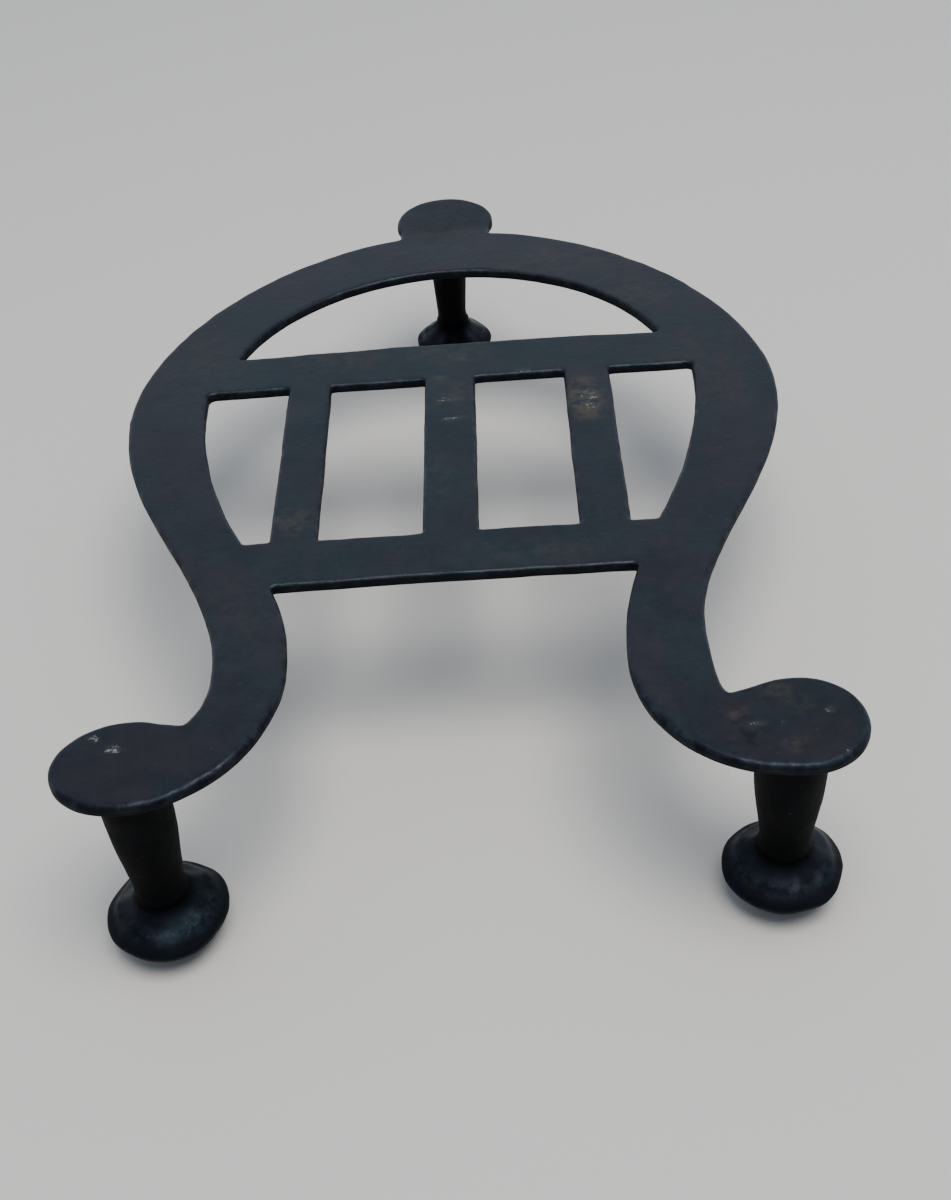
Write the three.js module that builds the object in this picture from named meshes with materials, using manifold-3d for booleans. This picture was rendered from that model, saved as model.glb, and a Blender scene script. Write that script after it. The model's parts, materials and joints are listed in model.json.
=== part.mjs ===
// Three-legged iron stand (trivet) for a hot iron, assembled by a smith from flat bar and round bar.
// Units are millimetres, +Z is up and the feet stand on z = 0.
// +Y runs from the two curled front arms to the single rear leg, +X is to the right.
// The stand is hand made, so its left and right halves have their own, slightly different sizes.
import * as THREE from 'three';
import { mergeVertices } from 'three/addons/utils/BufferGeometryUtils.js';
import Module from 'manifold-3d';

const wasm = await Module();
wasm.setup();

// ---- driving dimensions -------------------------------------------------------------------

const STAND_HEIGHT = 44.5;
const PLATE_THICKNESS = 2.4;
const PLATE_UNDERSIDE = STAND_HEIGHT - PLATE_THICKNESS;

// Rim: a flat bar bent edgeways into a horseshoe. Each half is drawn with x measured outwards.
const RIM_REAR_Y = 91.3;
const RIM_REAR_HANDLE = 41.5;
const RIM_SIDE_HANDLE = 35;
const ARCH = { x: -0.7, y: 16.7, r: 53.5, endAngle: THREE.MathUtils.degToRad(20) };
const LOBE_START_ANGLE = THREE.MathUtils.degToRad(112);
const ARM_SIDE_HANDLE = 20;
const CROOK_LEAD = { x: 1.6, y: 2 };

const RIGHT_HALF = {
  widest: { x: 74.1, y: 12, handle: 33.5 },
  armOuter: { x: 48, y: -71.5, handle: 25.5 },
  crook: { x: 49.8, y: -89.4 },
  lobe: { x: 61.4, y: -97.8, rx: 12.2, ry: 11.5, frontHandle: 16 },
  armInner: { x: 32.3, y: -78, handle: 12 },
  innerWaist: { x: 42.3, y: -37, lean: THREE.MathUtils.degToRad(25), above: 18, below: 15 },
  innerWidest: { x: 55.9, handle: 20, cornerRadius: 1 },
};

const LEFT_HALF = {
  widest: { x: 74.6, y: 14, handle: 37.5 },
  armOuter: { x: 46.3, y: -78, handle: 32 },
  crook: { x: 49.9, y: -88.9 },
  lobe: { x: 59.4, y: -98.3, rx: 13.9, ry: 11, frontHandle: 13.5 },
  armInner: { x: 31.8, y: -75.5, handle: 16 },
  innerWaist: { x: 43.6, y: -37, lean: THREE.MathUtils.degToRad(27), above: 18, below: 15 },
  innerWidest: { x: 57, handle: 20, cornerRadius: 1.7 },
};

// Rear tab: a tongue with a round end, let into the rim's rear edge.
const TAB = { x: -1.4, halfWidth: 11.95, rootY: 80.5, headY: 98.4, headR: 12.95 };

// Crossbars: let into the rim at both ends. The ends slope with the rim's inner edge.
const REAR_CROSSBAR = { frontY: 20.2, rearY: 34.7, rearBow: 1.3, frontBow: 0, frontHalf: 59.2, rearHalf: 52.8 };
const FRONT_CROSSBAR = { frontY: -51.8, rearY: -37, rearBow: 0, frontBow: 0.4, frontHalf: 38.4, rearHalf: 46.2 };

// Grid bars: three flat bars along Y, let into both crossbars.
const GRID_BAR_HOUSING = 2;
const GRID_BARS = {
  left_grid_bar: { x: -33.2, width: 10.2 },
  centre_grid_bar: { x: -0.4, width: 11.9 },
  right_grid_bar: { x: 31.5, width: 10.8 },
};

// Legs: tapered round bar, with a tenon at each end that is hammered over like a rivet.
const TENON_RADIUS = 3.4;
const TENON_HEAD_RADIUS = 4.4;
const TENON_HEAD_DEPTH = 1.2;
const TENON_CLEARANCE = 0.08;
const FOOT_HEIGHT = 13;
const FOOT_SHOULDER_HEIGHT = 9;
const FOOT_SHOULDER_SHARE = 0.79;
const FOOT_WIDEST_HEIGHT = 6.3;
const FOOT_SOLE_SHARE = 0.56;
const FOOT_EDGE = 0.8;
const FOOT_TENON_RADIUS = 2.6;
const FOOT_TENON_HEAD_RADIUS = 3.6;
const FOOT_TENON_RECESS = 1.2;
const LEGS = {
  left: { x: -58.3, y: -101, top: 6.6, middle: 6, ankle: 4.5, foot: 12 },
  right: { x: 59.9, y: -98.7, top: 6.9, middle: 6.3, ankle: 4.5, foot: 11.6 },
  rear: { x: -1.6, y: 100.1, top: 5.7, middle: 4.7, ankle: 3.8, foot: 10.6 },
};

const CURVE_STEPS = 18;
const ROUND_STEPS = 32;
const PROFILE_STEPS = 6;
const SAME_POINT = 1e-3;
const WELD_DISTANCE = 1e-4;
const CUTTER_OVERRUN = 0.02;

// ---- materials ----------------------------------------------------------------------------

const IRON_METALNESS = 0.6;

function blackIron(name, color, roughness) {
  const material = new THREE.MeshStandardMaterial({ color, roughness, metalness: IRON_METALNESS });
  material.name = name;
  return material;
}

// ---- solids: booleans and extrusions ------------------------------------------------------

function toManifold(geometry) {
  const bare = geometry.clone();
  bare.deleteAttribute('normal');
  bare.deleteAttribute('uv');
  const welded = mergeVertices(bare, WELD_DISTANCE);
  const mesh = new wasm.Mesh({
    numProp: 3,
    vertProperties: new Float32Array(welded.attributes.position.array),
    triVerts: new Uint32Array(welded.index.array),
  });
  return new wasm.Manifold(mesh);
}

function toGeometry(manifold) {
  const mesh = manifold.getMesh();
  const geometry = new THREE.BufferGeometry();
  geometry.setAttribute('position', new THREE.BufferAttribute(mesh.vertProperties, 3));
  geometry.setIndex(new THREE.BufferAttribute(mesh.triVerts, 1));
  geometry.computeVertexNormals();
  return geometry;
}

function cut(body, cutters) {
  let solid = toManifold(body);
  for (const cutter of cutters) {
    solid = solid.subtract(toManifold(cutter));
  }
  return toGeometry(solid);
}

// A flat outline as a piece of plate, between the stand's underside and its top.
function plate(outline) {
  const shape = new THREE.Shape(outline);
  const geometry = new THREE.ExtrudeGeometry(shape, { depth: PLATE_THICKNESS, bevelEnabled: false });
  return geometry.translate(0, 0, PLATE_UNDERSIDE);
}

// A lathe turned about a vertical axis. The profile is a list of [radius, height].
function turned(profile, x, y) {
  const points = profile.map(([radius, height]) => new THREE.Vector2(radius, height));
  const geometry = new THREE.LatheGeometry(points, ROUND_STEPS);
  return geometry.rotateX(Math.PI / 2).translate(x, y, 0);
}

// ---- curves -------------------------------------------------------------------------------

function bezier(start, startHandle, endHandle, end, steps = CURVE_STEPS) {
  const points = [start, startHandle, endHandle, end].map(([x, y]) => new THREE.Vector2(x, y));
  return new THREE.CubicBezierCurve(...points).getPoints(steps);
}

function arc(centre, radiusX, radiusY, fromAngle, toAngle) {
  const clockwise = toAngle < fromAngle;
  const curve = new THREE.EllipseCurve(centre.x, centre.y, radiusX, radiusY, fromAngle, toAngle, clockwise);
  return curve.getPoints(CURVE_STEPS);
}

// Joins stretches end to end and leaves out the points that they share.
function chain(...stretches) {
  const points = [];
  for (const point of stretches.flat()) {
    const last = points.at(-1);
    if (!last || last.distanceTo(point) > SAME_POINT) points.push(point);
  }
  return points;
}

// ---- rim ----------------------------------------------------------------------------------

// One half of the rim, from the middle of its rear edge round the arm to the middle of the arch.
function rimHalf(half, archX) {
  const { widest, armOuter, crook, lobe, armInner, innerWaist, innerWidest } = half;
  const windowTop = REAR_CROSSBAR.frontY;
  const lobeFront = lobe.y - lobe.ry;
  const { cornerRadius } = innerWidest;
  const corner = { x: innerWidest.x - cornerRadius, y: windowTop - cornerRadius };
  const leanX = Math.sin(innerWaist.lean);
  const leanY = Math.cos(innerWaist.lean);

  const rear = bezier(
    [0, RIM_REAR_Y],
    [RIM_REAR_HANDLE, RIM_REAR_Y],
    [widest.x, widest.y + RIM_SIDE_HANDLE],
    [widest.x, widest.y],
  );
  const side = bezier(
    [widest.x, widest.y],
    [widest.x, widest.y - widest.handle],
    [armOuter.x, armOuter.y + armOuter.handle],
    [armOuter.x, armOuter.y],
  );
  const bend = bezier(
    [armOuter.x, armOuter.y],
    [armOuter.x, (armOuter.y + crook.y) / 2],
    [crook.x - CROOK_LEAD.x, crook.y + CROOK_LEAD.y],
    [crook.x, crook.y],
  );
  const curl = arc(lobe, lobe.rx, lobe.ry, LOBE_START_ANGLE, -Math.PI / 2);
  const armEdge = bezier(
    [lobe.x, lobeFront],
    [lobe.x - lobe.frontHandle, lobeFront],
    [armInner.x, armInner.y - ARM_SIDE_HANDLE],
    [armInner.x, armInner.y],
  );
  const innerArm = bezier(
    [armInner.x, armInner.y],
    [armInner.x, armInner.y + armInner.handle],
    [innerWaist.x - innerWaist.below * leanX, innerWaist.y - innerWaist.below * leanY],
    [innerWaist.x, innerWaist.y],
  );
  const windowSide = bezier(
    [innerWaist.x, innerWaist.y],
    [innerWaist.x + innerWaist.above * leanX, innerWaist.y + innerWaist.above * leanY],
    [innerWidest.x, corner.y - innerWidest.handle],
    [innerWidest.x, corner.y],
  );
  const windowCorner = arc(corner, cornerRadius, cornerRadius, 0, Math.PI / 2);
  const arch = arc({ x: archX, y: ARCH.y }, ARCH.r, ARCH.r, ARCH.endAngle, Math.PI / 2);
  return chain(rear, side, bend, curl, armEdge, innerArm, windowSide, windowCorner, arch);
}

function rimOutline() {
  const right = rimHalf(RIGHT_HALF, ARCH.x);
  const left = rimHalf(LEFT_HALF, -ARCH.x).map((point) => new THREE.Vector2(-point.x, point.y));
  const outline = chain(right, left.reverse());
  if (outline[0].distanceTo(outline.at(-1)) < SAME_POINT) outline.pop();
  return outline;
}

// ---- tab, crossbars and grid bars ---------------------------------------------------------

function tabOutline() {
  const meetAngle = Math.acos(TAB.halfWidth / TAB.headR);
  const head = arc({ x: TAB.x, y: TAB.headY }, TAB.headR, TAB.headR, -meetAngle, Math.PI + meetAngle);
  const root = [
    new THREE.Vector2(TAB.x - TAB.halfWidth, TAB.rootY),
    new THREE.Vector2(TAB.x + TAB.halfWidth, TAB.rootY),
  ];
  return chain(head, root);
}

// A crossbar's long edge, from one end to the other, with its middle pushed out by the bow.
function bowedEdge(half, y, bow) {
  const start = new THREE.Vector2(half, y);
  const middle = new THREE.Vector2(0, y + 2 * bow);
  const end = new THREE.Vector2(-half, y);
  if (bow === 0) return [start, end];
  return new THREE.QuadraticBezierCurve(start, middle, end).getPoints(CURVE_STEPS);
}

function crossbarOutline(bar) {
  const rear = bowedEdge(bar.rearHalf, bar.rearY, bar.rearBow);
  const front = bowedEdge(bar.frontHalf, bar.frontY, bar.frontBow);
  return chain(rear, front.reverse());
}

function gridBarOutline(bar) {
  const start = FRONT_CROSSBAR.rearY - GRID_BAR_HOUSING;
  const end = REAR_CROSSBAR.frontY + GRID_BAR_HOUSING;
  const left = bar.x - bar.width / 2;
  const right = bar.x + bar.width / 2;
  return [
    new THREE.Vector2(left, start),
    new THREE.Vector2(right, start),
    new THREE.Vector2(right, end),
    new THREE.Vector2(left, end),
  ];
}

// ---- legs and feet ------------------------------------------------------------------------

// The hammered-over upper tenon, or the hole for it when it is grown by the clearance.
function tenonProfile(clearance, below, above) {
  return [
    [0, below],
    [TENON_RADIUS + clearance, below],
    [TENON_RADIUS + clearance, STAND_HEIGHT - TENON_HEAD_DEPTH],
    [TENON_HEAD_RADIUS + clearance, above],
    [0, above],
  ];
}

function tenonCutter(leg) {
  const below = PLATE_UNDERSIDE - CUTTER_OVERRUN;
  const above = STAND_HEIGHT + CUTTER_OVERRUN;
  return turned(tenonProfile(TENON_CLEARANCE, below, above), leg.x, leg.y);
}

function legBody(leg) {
  const shank = new THREE.CatmullRomCurve3([
    new THREE.Vector3(leg.ankle, FOOT_HEIGHT, 0),
    new THREE.Vector3(leg.middle, (FOOT_HEIGHT + PLATE_UNDERSIDE) / 2, 0),
    new THREE.Vector3(leg.top, PLATE_UNDERSIDE, 0),
  ]);
  const side = shank.getPoints(PROFILE_STEPS).map((point) => [point.x, point.y]);
  const headBottom = FOOT_TENON_RECESS;
  const profile = [
    [0, headBottom],
    [FOOT_TENON_HEAD_RADIUS, headBottom],
    [FOOT_TENON_RADIUS, headBottom + TENON_HEAD_DEPTH],
    [FOOT_TENON_RADIUS, FOOT_HEIGHT],
    ...side,
    ...tenonProfile(0, PLATE_UNDERSIDE, STAND_HEIGHT).slice(1),
  ];
  return turned(profile, leg.x, leg.y);
}

// A button: coned below its widest circle, sloped up to a shoulder, then flatter towards the neck.
// It has a countersunk hole for the lower tenon.
function footBody(leg) {
  const widest = leg.foot;
  const sole = widest * FOOT_SOLE_SHARE;
  const shoulder = widest * FOOT_SHOULDER_SHARE;
  const hole = FOOT_TENON_RADIUS + TENON_CLEARANCE;
  const holeMouth = FOOT_TENON_HEAD_RADIUS + TENON_CLEARANCE;
  const crownRise = FOOT_HEIGHT - FOOT_SHOULDER_HEIGHT;
  const crownRun = shoulder - leg.ankle;
  const crown = bezier(
    [shoulder, FOOT_SHOULDER_HEIGHT],
    [shoulder - crownRun / 3, FOOT_SHOULDER_HEIGHT + crownRise / 5],
    [leg.ankle + crownRun / 6, FOOT_SHOULDER_HEIGHT + crownRise / 2],
    [leg.ankle, FOOT_HEIGHT],
    PROFILE_STEPS,
  );
  const profile = [
    [hole, FOOT_TENON_RECESS + TENON_HEAD_DEPTH],
    [holeMouth, FOOT_TENON_RECESS],
    [holeMouth, 0],
    [sole, 0],
    [widest - FOOT_EDGE, FOOT_WIDEST_HEIGHT - 2 * FOOT_EDGE],
    [widest, FOOT_WIDEST_HEIGHT],
    [widest - FOOT_EDGE / 2, FOOT_WIDEST_HEIGHT + FOOT_EDGE],
    ...crown.map((point) => [point.x, point.y]),
    [hole, FOOT_HEIGHT],
    [hole, FOOT_TENON_RECESS + TENON_HEAD_DEPTH],
  ];
  return turned(profile, leg.x, leg.y);
}

// ---- assembly -----------------------------------------------------------------------------

const stand = new THREE.Group();
const plateIron = blackIron('plate_iron', 0x2d343c, 0.55);
const barIron = blackIron('bar_iron', 0x30353b, 0.55);
const legIron = blackIron('leg_iron', 0x15181c, 0.5);

function add(name, geometry, material) {
  const mesh = new THREE.Mesh(geometry, material.clone());
  mesh.name = name;
  stand.add(mesh);
}

const gridBars = Object.fromEntries(
  Object.entries(GRID_BARS).map(([name, bar]) => [name, plate(gridBarOutline(bar))]),
);
const frontCrossbar = plate(crossbarOutline(FRONT_CROSSBAR));
const rearCrossbar = plate(crossbarOutline(REAR_CROSSBAR));
const rearTab = plate(tabOutline());

add(
  'rim',
  cut(plate(rimOutline()), [
    frontCrossbar,
    rearCrossbar,
    rearTab,
    tenonCutter(LEGS.left),
    tenonCutter(LEGS.right),
  ]),
  plateIron,
);
add('rear_tab', cut(rearTab, [tenonCutter(LEGS.rear)]), plateIron);
add('front_crossbar', cut(frontCrossbar, Object.values(gridBars)), barIron);
add('rear_crossbar', cut(rearCrossbar, Object.values(gridBars)), barIron);
for (const [name, geometry] of Object.entries(gridBars)) {
  add(name, geometry, barIron);
}
for (const [place, leg] of Object.entries(LEGS)) {
  add(`${place}_leg`, legBody(leg), legIron);
  add(`${place}_foot`, footBody(leg), legIron);
}

// The origin is on the floor, under the middle of the stand's box.
const middle = new THREE.Box3().setFromObject(stand).getCenter(new THREE.Vector3());
stand.position.set(-middle.x, -middle.y, 0);

export default stand;
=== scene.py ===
import json
import math

import bpy
import numpy as np
from mathutils import Matrix, Vector, noise
from mathutils.geometry import delaunay_2d_cdt


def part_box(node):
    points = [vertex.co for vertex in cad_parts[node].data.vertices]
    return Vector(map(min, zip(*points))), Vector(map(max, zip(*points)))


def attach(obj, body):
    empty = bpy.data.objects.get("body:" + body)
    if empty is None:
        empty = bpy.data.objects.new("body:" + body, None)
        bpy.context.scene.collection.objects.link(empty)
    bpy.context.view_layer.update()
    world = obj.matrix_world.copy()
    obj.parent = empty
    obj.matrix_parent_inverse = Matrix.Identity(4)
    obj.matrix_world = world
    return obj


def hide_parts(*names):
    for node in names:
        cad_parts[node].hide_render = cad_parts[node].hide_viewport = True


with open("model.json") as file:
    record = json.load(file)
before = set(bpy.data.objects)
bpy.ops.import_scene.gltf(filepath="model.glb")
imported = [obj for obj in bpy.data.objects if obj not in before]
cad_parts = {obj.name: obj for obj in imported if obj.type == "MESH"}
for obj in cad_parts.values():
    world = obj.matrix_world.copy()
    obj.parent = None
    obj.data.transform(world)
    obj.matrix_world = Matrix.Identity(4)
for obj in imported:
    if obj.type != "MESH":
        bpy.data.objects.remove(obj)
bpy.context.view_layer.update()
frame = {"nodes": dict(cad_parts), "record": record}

# Lengths are in millimetres in the row frame, and in metres where a name ends in _M.
# Meshes are written in metres.
MM = 0.001

PLATE_NODES = ["rim", "rear_tab", "front_crossbar", "rear_crossbar",
               "left_grid_bar", "centre_grid_bar", "right_grid_bar"]
LEG_PLACES = ["left", "right", "rear"]

PLATE_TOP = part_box("rim")[1].z / MM
PLATE_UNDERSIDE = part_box("rim")[0].z / MM


# ---- camera ------------------------------------------------------------------------------------

SENSOR_HEIGHT = 36.0
LENS = 48.0
CLIP_START_M = 0.01
CLIP_END_M = 20.0
CAMERA_X = 14.78
CAMERA_Y = -296.09
CAMERA_ABOVE_PLATE = 203.46
PITCH = 0.709
ROLL = -0.0919
HEADING = 0.0429


def add_camera():
    """The camera at the photograph's viewing angle. Its angles are in radians, and PITCH is downwards."""
    data = bpy.data.cameras.new("camera")
    data.sensor_fit = "VERTICAL"
    data.sensor_height = SENSOR_HEIGHT
    data.lens = LENS
    data.clip_start = CLIP_START_M
    data.clip_end = CLIP_END_M
    camera = bpy.data.objects.new("camera", data)
    bpy.context.scene.collection.objects.link(camera)
    forward = Vector((0, math.cos(PITCH), -math.sin(PITCH)))
    flat_right = Vector((1, 0, 0))
    flat_up = Vector((0, math.sin(PITCH), math.cos(PITCH)))
    right = flat_right * math.cos(ROLL) + flat_up * math.sin(ROLL)
    up = flat_up * math.cos(ROLL) - flat_right * math.sin(ROLL)
    turn = Matrix.Rotation(HEADING, 3, "Z")
    axes = Matrix((turn @ right, turn @ up, turn @ -forward)).transposed()
    place = Vector((CAMERA_X, CAMERA_Y, PLATE_TOP + CAMERA_ABOVE_PLATE)) * MM
    camera.matrix_world = Matrix.Translation(place) @ axes.to_4x4()
    bpy.context.scene.camera = camera


# ---- noise, distances and curves ---------------------------------------------------------------

# Points are handled in batches, to save memory.
BATCH = 2000
TINY = 1e-12
# Neighbouring points of an outline that are further apart than this have a straight side between them.
STRAIGHT_RUN = 9.0
STRAIGHT_STEPS = 40
CURVE_STEPS = 12
STRAIGHT_PULL = 0.9
SAMPLE_SPACING = 0.7


def wobble(x, y, size, seed):
    """Smooth noise between about -1 and 1, in patches of the given size."""
    return noise.noise(Vector((x / size, y / size, seed)))


def waves(x, y, layers, start=0.0):
    """The start value with layers of noise added. A layer is (height, patch size, seed)."""
    total = start
    for height, size, seed in layers:
        total += height * wobble(x, y, size, seed)
    return total


def ease(value, low, high):
    """0 up to low, 1 from high on, and a smooth rise between them."""
    share = min(1.0, max(0.0, (value - low) / (high - low)))
    return share * share * (3 - 2 * share)


def inside(points, loop):
    """True for each point that lies inside the closed loop."""
    result = np.zeros(len(points), bool)
    a, b = loop, np.roll(loop, -1, axis=0)
    rise = b[:, 1] - a[:, 1]
    slope = (b[:, 0] - a[:, 0]) / np.where(np.abs(rise) < TINY, TINY, rise)
    for start in range(0, len(points), BATCH):
        x, y = points[start:start + BATCH, 0, None], points[start:start + BATCH, 1, None]
        crosses = (a[:, 1] > y) != (b[:, 1] > y)
        at = a[:, 0] + (y - a[:, 1]) * slope
        result[start:start + BATCH] = np.sum(crosses & (at > x), axis=1) % 2 == 1
    return result


def in_metal(points, outlines):
    """True for each point inside an odd number of the outlines, so that windows are left out."""
    result = np.zeros(len(points), bool)
    for loop in outlines:
        result ^= inside(points, loop)
    return result


def distance(points, samples):
    """The distance from each point to the nearest sample."""
    result = np.empty(len(points))
    for start in range(0, len(points), BATCH):
        gap = points[start:start + BATCH, None, :] - samples[None, :, :]
        result[start:start + BATCH] = np.sqrt(np.min(np.sum(gap * gap, axis=2), axis=1))
    return result


def bend(a, b, c, d):
    """Close points from b up to c, straight where they are far apart, else curved with regard to a and d."""
    length = np.linalg.norm(c - b)
    if length > STRAIGHT_RUN:
        share = np.linspace(0, 1, STRAIGHT_STEPS, endpoint=False)[:, None]
        return b * (1 - share) + c * share
    before, after = (c - a) / 2, (d - b) / 2
    if np.linalg.norm(b - a) > STRAIGHT_RUN:
        before = (c - b) * STRAIGHT_PULL
    if np.linalg.norm(d - c) > STRAIGHT_RUN:
        after = (c - b) * STRAIGHT_PULL
    before, after = (pull * min(1.0, length / max(np.linalg.norm(pull), TINY)) for pull in (before, after))
    t = np.linspace(0, 1, CURVE_STEPS, endpoint=False)[:, None]
    return ((2 * t**3 - 3 * t**2 + 1) * b + (t**3 - 2 * t**2 + t) * before
            + (-2 * t**3 + 3 * t**2) * c + (t**3 - t**2) * after)


def spline(run, spacing):
    """Evenly spaced points on a smooth curve through the run. A run of two points gives a straight line."""
    if len(run) == 2:
        count = max(2, int(round(np.linalg.norm(run[1] - run[0]) / spacing)))
        share = np.linspace(0, 1, count + 1)[:, None]
        return run[0] * (1 - share) + run[1] * share
    ends = np.vstack([2 * run[0] - run[1], run, 2 * run[-1] - run[-2]])
    dense = np.vstack([bend(*ends[i - 1:i + 3]) for i in range(1, len(ends) - 2)] + [run[-1:]])
    lengths = np.concatenate([[0], np.cumsum(np.linalg.norm(np.diff(dense, axis=0), axis=1))])
    count = max(2, int(round(lengths[-1] / spacing)))
    at = np.linspace(0, lengths[-1], count + 1)
    return np.stack([np.interp(at, lengths, dense[:, k]) for k in range(2)], axis=1)


def loop_samples(loop):
    """Evenly spaced points along the straight sides of a closed loop."""
    ends = zip(loop, np.roll(loop, -1, axis=0))
    return np.vstack([spline(np.vstack(pair), SAMPLE_SPACING) for pair in ends])


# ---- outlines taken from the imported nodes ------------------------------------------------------

FACING_UP = 0.9
TOP_LEVEL_M = 1e-5
WELD = 0.002
# What delaunay_2d_cdt is asked for: the triangles inside the given outlines, or later all within their hull.
INSIDE_OUTLINES = 1
WHOLE_HULL = 0
SLIVER_POINTS = 3
HOLE_WIDTH = 9.5
OUTLINE_SPACING = 0.6
SHARP_TURN = math.radians(24)
CORNER_EASE = 0.45
FILED_DEPTH = 0.1
FILED_WAVES = [(0.16, 11, 21.3), (0.07, 3.5, 27.9)]


def axis_of(node):
    """Where the upright axis of a turned node stands."""
    low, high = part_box(node)
    return (low.x + high.x) / 2 / MM, (low.y + high.y) / 2 / MM


def border(faces):
    """The edges that belong to one face only, each in its face's direction."""
    once = {}
    for face in faces:
        for a, b in zip(face, face[1:] + face[:1]):
            if (b, a) in once:
                del once[(b, a)]
            elif a != b:
                once[(a, b)] = True
    return list(once)


def chain_loops(edges):
    """The edges joined end to end into closed loops of points."""
    after = dict(edges)
    loops = []
    while after:
        start, point = after.popitem()
        loop = [start]
        while point != start:
            loop.append(point)
            point = after.pop(point)
        loops.append(np.array(loop, float))
    return loops


def top_loops(node):
    """The closed outlines of a node's flat top, as arrays of (x, y)."""
    mesh = frame["nodes"][node].data
    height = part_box(node)[1].z
    faces = []
    for polygon in mesh.polygons:
        points = [mesh.vertices[i].co for i in polygon.vertices]
        if polygon.normal.z > FACING_UP and min(p.z for p in points) > height - TOP_LEVEL_M:
            faces.append([(round(p.x / MM, 3), round(p.y / MM, 3)) for p in points])
    return chain_loops(border(faces))


def plate_loops():
    """The top outlines of the plate's nodes, without the holes for the tenons, as pairs of node and loop."""
    loops = [(node, loop) for node in PLATE_NODES for loop in top_loops(node)]
    return [(node, loop) for node, loop in loops if np.ptp(loop[:, 0]) > HOLE_WIDTH]


def free_outlines(loops):
    """The outlines of all the nodes together, with the metal on the left and no slivers between nodes."""
    points, faces = [], []
    for loop in loops:
        faces.append(list(range(len(points), len(points) + len(loop))))
        points.extend(Vector(p) for p in loop)
    verts, _, tris, _, _, sources = delaunay_2d_cdt(points, [], faces, INSIDE_OUTLINES, WELD)
    metal = [tuple(tri) for tri, source in zip(tris, sources) if source]
    edges = [(tuple(verts[a]), tuple(verts[b])) for a, b in border(metal)]
    return [loop for loop in chain_loops(edges) if len(loop) > SLIVER_POINTS]


def sharp_corners(loop):
    """The numbers of the points where the loop turns sharply, or the first point where it never does."""
    back = loop - np.roll(loop, 1, axis=0)
    ahead = np.roll(loop, -1, axis=0) - loop
    turn = np.arctan2(back[:, 0] * ahead[:, 1] - back[:, 1] * ahead[:, 0], np.sum(back * ahead, axis=1))
    return [i for i in range(len(loop)) if abs(turn[i]) > SHARP_TURN] or [0]


def smooth_outline(loop):
    """The outline as evenly spaced points on smooth curves, with its sharp corners eased."""
    corners = sharp_corners(loop)
    curves = []
    for first, last in zip(corners, corners[1:] + corners[:1]):
        count = (last - first) % len(loop) or len(loop)
        run = loop[[(first + i) % len(loop) for i in range(count + 1)]]
        curves.append(spline(run, OUTLINE_SPACING)[:-1])
    points = np.vstack(curves)
    if len(corners) > 1:
        starts = np.cumsum([0] + [len(curve) for curve in curves[:-1]])
        middle = (np.roll(points, 1, axis=0) + np.roll(points, -1, axis=0)) / 2
        points[starts] += (middle[starts] - points[starts]) * CORNER_EASE
    return points


def inwards(loop):
    """Unit steps from the loop's points into the metal, which lies on the loop's left."""
    ahead = np.roll(loop, -1, axis=0) - np.roll(loop, 1, axis=0)
    ahead /= np.linalg.norm(ahead, axis=1)[:, None]
    return np.stack([-ahead[:, 1], ahead[:, 0]], axis=1)


def filed(loop):
    """The outline moved inwards by the small, uneven amount that a file takes off."""
    depth = np.array([waves(x, y, FILED_WAVES, FILED_DEPTH) for x, y in loop])
    return loop + inwards(loop) * depth[:, None]


# ---- hammer marks, stains and the rounding of edges --------------------------------------------

# Distances in front of the centre: where the front lobes start, and where they are rounded, and worn and
# painted with a highlight, in full.
LOBE_START = 78
LOBE_ROUND_FULL = 104
LOBE_WEAR_AND_HIGHLIGHT_FULL = 96

TOP_ROUND = 1.05
LOBE_ROUND = 1.3
BOTTOM_ROUND = 0.4
ROUND_WAVES = [(0.3, 14, 3.7), (0.2, 4, 9.1)]

TOP_WAVES = [(0.10, 26, 1.3), (0.045, 9, 5.1), (0.015, 3.2, 7.7)]
TOP_SINK = 0.06
UNDER_WAVES = [(0.08, 18, 12.4), (0.03, 5, 15.2)]
UNDER_LIFT = 0.03
UNDER_FADE = 2

# The marks on a lobe lie within LOBE_REACH of its leg's axis, outside a middle share of that circle's area.
MARK_SEED = 41
LOBE_MARKS = {"left": 16, "right": 18, "rear": 8}
LOBE_REACH = 12.5
MIDDLE_SHARE = 0.02
LOBE_MARK_RADII = (2.2, 4.2)
LOBE_MARK_DEPTHS = (0.04, 0.11)
RIM_MARKS = 150
RIM_MARK_RADII = (2.5, 6.0)
RIM_MARK_DEPTHS = (0.02, 0.06)

# The deep strikes on the right lobe that can be made out in the photograph: (x, y, radius, depth).
STRIKES = [(50.6, -95.7, 2.0, 0.26), (51.9, -99.6, 2.2, 0.3), (55.0, -98.2, 1.8, 0.26),
           (48.8, -101.2, 2.0, 0.22), (59.3, -90.2, 2.6, 0.2), (60.0, -102.8, 2.2, 0.22),
           (66.5, -96.0, 1.8, 0.2), (56.5, -93.2, 1.6, 0.16), (63.2, -99.0, 2.0, 0.16)]

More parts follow.
